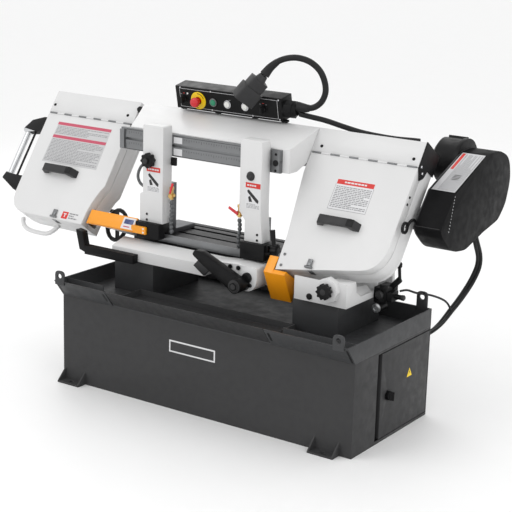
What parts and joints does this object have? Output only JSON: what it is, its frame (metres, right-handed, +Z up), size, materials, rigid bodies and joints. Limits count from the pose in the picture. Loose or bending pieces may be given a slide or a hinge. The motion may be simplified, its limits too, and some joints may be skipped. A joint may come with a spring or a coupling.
{
  "type": "horizontal band saw",
  "caption": "Horizontal metal-cutting band saw: tilting saw head with wheels, blade and guides over a vise table on a cabinet stand with chip tray.",
  "frame": {"origin": "centre of the cabinet's underside, on the floor", "axes": "+X to the operator's right along the cabinet, +Y to the back, +Z up"},
  "size_m": [1.7271, 0.8508, 1.1202],
  "materials": {
    "painted_white": "satin powder coat",
    "painted_grey": "fine textured powder coat",
    "painted_black": "satin",
    "painted_orange": "satin powder coat",
    "cast_iron": "ground and oiled",
    "steel": "ground",
    "aluminium": "satin anodised",
    "black_plastic": "matte",
    "red_plastic": "gloss",
    "green_plastic": "gloss",
    "white_plastic": "gloss",
    "rubber": "matte"
  },
  "bodies": {
    "stand": {"cabinet": "painted_grey", "chip_tray": "painted_grey", "left_pedestal": "painted_grey", "right_pedestal": "painted_grey", "bed": "painted_white", "table": "cast_iron", "swivel_segment": "painted_white", "pivot_base": "painted_white", "supply_cable": "rubber", "head_stop": "painted_black", "feed_valve": "painted_black", "feed_cylinder": "painted_black"},
    "door": {"cabinet_door": "painted_grey"},
    "door_knob": {"door_latch": "black_plastic"},
    "pan": {"swarf_pan": "painted_grey"},
    "jaw_slide": {"moving_jaw": "cast_iron"},
    "screw": {"vise_screw": "painted_black"},
    "swivel_jaw": {"fixed_jaw": "cast_iron"},
    "lever": {"clamp_lever": "painted_black"},
    "base_knob": {"boss_knob": "black_plastic"},
    "rod": {"feed_rod": "steel"},
    "head": {"head_frame": "painted_white", "guide_rail": "steel", "left_cover": "painted_white", "right_cover": "painted_white", "gearbox": "painted_grey", "belt_case": "painted_black", "motor": "painted_black", "control_box": "painted_black", "power_lead": "rubber", "power_plug": "black_plastic", "control_conduit": "rubber", "lift_handle": "aluminium", "right_guide_column": "painted_white", "right_guide_block": "painted_black", "right_blade_guard": "painted_orange", "saw_blade": "steel", "drive_belt": "rubber"},
    "left_door": {"left_lid": "painted_white", "left_lid_handle": "black_plastic"},
    "left_toggle": {"left_latch": "steel"},
    "right_door": {"right_lid": "painted_white", "right_lid_handle": "black_plastic"},
    "right_toggle": {"right_latch": "steel"},
    "idler": {"idler_wheel": "cast_iron"},
    "driver": {"drive_wheel": "cast_iron"},
    "sheave_motor": {"motor_pulley": "cast_iron"},
    "sheave_worm": {"worm_pulley": "cast_iron"},
    "guide_arm": {"left_guide_column": "painted_white", "left_guide_block": "painted_black", "left_blade_guard": "painted_orange"},
    "guide_knob": {"left_guide_knob": "black_plastic"},
    "guide_lever": {"right_guide_lever": "black_plastic"},
    "tensioner": {"tension_handle": "black_plastic"},
    "switch_power": {"power_switch": "black_plastic"},
    "button_stop": {"stop_button": "red_plastic"},
    "button_start": {"start_button": "green_plastic"},
    "button_feed": {"feed_button": "white_plastic"},
    "button_jog": {"jog_button": "white_plastic"},
    "knob_speed": {"speed_knob": "black_plastic"}
  },
  "joints": [
    {"name": "head_pivot", "type": "hinge", "parent": "stand", "child": "head", "pos_m": [0.415, 0.14, 0.48], "axis": [0, 1, 0], "range_deg": [0, 45], "deforming": ["supply_cable"]},
    {"name": "feed_rod_slide", "type": "slide", "parent": "stand", "child": "rod", "axis": [0, 0, 1], "range_m": [0, 0.061]},
    {"name": "door_hinge", "type": "hinge", "parent": "stand", "child": "door", "pos_m": [0.5665, 0.2285, 0.15], "axis": [0, 0, 1], "range_deg": [0, 110]},
    {"name": "door_latch_turn", "type": "hinge", "parent": "door", "child": "door_knob", "pos_m": [0.565, -0.032, 0.144], "axis": [1, 0, 0], "range_deg": [0, 90]},
    {"name": "swarf_pan_slide", "type": "slide", "parent": "stand", "child": "pan", "axis": [0, -1, 0], "range_m": [0, 0.15]},
    {"name": "vise_jaw_slide", "type": "slide", "parent": "stand", "child": "jaw_slide", "axis": [1, 0, 0], "range_m": [0, 0.35]},
    {"name": "vise_screw_turn", "type": "hinge", "parent": "stand", "child": "screw", "pos_m": [-0.69, 0.195, 0.436], "axis": [1, 0, 0], "range_deg": [0, 10510]},
    {"name": "fixed_jaw_swivel", "type": "hinge", "parent": "stand", "child": "swivel_jaw", "pos_m": [0.016, 0.02, 0.48], "axis": [0, 0, -1], "range_deg": [0, 45]},
    {"name": "swivel_clamp_lever", "type": "hinge", "parent": "stand", "child": "lever", "pos_m": [0.078, -0.14, 0.428], "axis": [0, 1, 0], "range_deg": [-40, 25]},
    {"name": "base_knob_turn", "type": "hinge", "parent": "stand", "child": "base_knob", "pos_m": [0.387, -0.12, 0.462], "axis": [0, 1, 0], "continuous": true},
    {"name": "left_lid_hinge", "type": "hinge", "parent": "head", "child": "left_door", "pos_m": [-0.769, 0.1392, 0.82226], "axis": [-1, 0, 0], "range_deg": [0, 115]},
    {"name": "right_lid_hinge", "type": "hinge", "parent": "head", "child": "right_door", "pos_m": [0.346, 0.1392, 0.82226], "axis": [-1, 0, 0], "range_deg": [0, 115]},
    {"name": "left_latch_toggle", "type": "hinge", "parent": "left_door", "child": "left_toggle", "pos_m": [-0.745, -0.08439, 0.51078], "axis": [1, 0, 0], "range_deg": [0, 100]},
    {"name": "right_latch_toggle", "type": "hinge", "parent": "right_door", "child": "right_toggle", "pos_m": [0.296, -0.08267, 0.51324], "axis": [1, 0, 0], "range_deg": [0, 100]},
    {"name": "drive_wheel_spin", "type": "hinge", "parent": "head", "child": "driver", "pos_m": [0.35, 0.07415, 0.63172], "axis": [0, -0.8192, 0.5736], "continuous": true},
    {"name": "idler_wheel_spin", "type": "hinge", "parent": "head", "child": "idler", "pos_m": [-0.768, 0.07415, 0.63172], "axis": [0, -0.8192, 0.5736], "continuous": true},
    {"name": "worm_pulley_spin", "type": "hinge", "parent": "head", "child": "sheave_worm", "pos_m": [0.606, 0.195, 0.65], "axis": [1, 0, 0], "continuous": true},
    {"name": "motor_pulley_spin", "type": "hinge", "parent": "head", "child": "sheave_motor", "pos_m": [0.606, 0.44, 0.795], "axis": [1, 0, 0], "continuous": true},
    {"name": "left_guide_slide", "type": "slide", "parent": "head", "child": "guide_arm", "axis": [1, 0, 0], "range_m": [0, 0.26]},
    {"name": "guide_knob_turn", "type": "hinge", "parent": "guide_arm", "child": "guide_knob", "pos_m": [-0.353, -0.055, 0.754], "axis": [0, 1, 0], "continuous": true},
    {"name": "guide_lever_turn", "type": "hinge", "parent": "head", "child": "guide_lever", "pos_m": [0.13, -0.03, 0.53], "axis": [1, 0, 0], "range_deg": [-60, 60]},
    {"name": "blade_tension_turn", "type": "hinge", "parent": "head", "child": "tensioner", "pos_m": [-0.768, 0.16589, 0.56748], "axis": [0, -0.8192, 0.5736], "continuous": true},
    {"name": "power_switch_turn", "type": "hinge", "parent": "head", "child": "switch_power", "pos_m": [-0.367, 0.15772, 0.93324], "axis": [0, 0.9781, 0.2079], "range_deg": [0, 90]},
    {"name": "speed_knob_turn", "type": "hinge", "parent": "head", "child": "knob_speed", "pos_m": [-0.046, 0.15772, 0.93324], "axis": [0, 0.9781, 0.2079], "range_deg": [-60, 60]},
    {"name": "stop_button_press", "type": "slide", "parent": "head", "child": "button_stop", "axis": [0, 0.9781, 0.2079], "range_m": [0, 0.006], "stiffness_N_per_m": 900, "springref_m": -0.001},
    {"name": "start_button_press", "type": "slide", "parent": "head", "child": "button_start", "axis": [0, 0.9781, 0.2079], "range_m": [0, 0.004], "stiffness_N_per_m": 500, "springref_m": -0.001},
    {"name": "feed_button_press", "type": "slide", "parent": "head", "child": "button_feed", "axis": [0, 0.9781, 0.2079], "range_m": [0, 0.004], "stiffness_N_per_m": 500, "springref_m": -0.001},
    {"name": "jog_button_press", "type": "slide", "parent": "head", "child": "button_jog", "axis": [0, 0.9781, 0.2079], "range_m": [0, 0.004], "stiffness_N_per_m": 500, "springref_m": -0.001}
  ],
  "couplings": [
    {"joint": "feed_rod_slide", "follows": "head_pivot", "m_per_rad": 0.077},
    {"joint": "vise_screw_turn", "follows": "vise_jaw_slide", "rad_per_m": 523.6},
    {"joint": "idler_wheel_spin", "follows": "drive_wheel_spin", "ratio": 1},
    {"joint": "worm_pulley_spin", "follows": "drive_wheel_spin", "ratio": 20},
    {"joint": "motor_pulley_spin", "follows": "drive_wheel_spin", "ratio": 33.75}
  ]
}
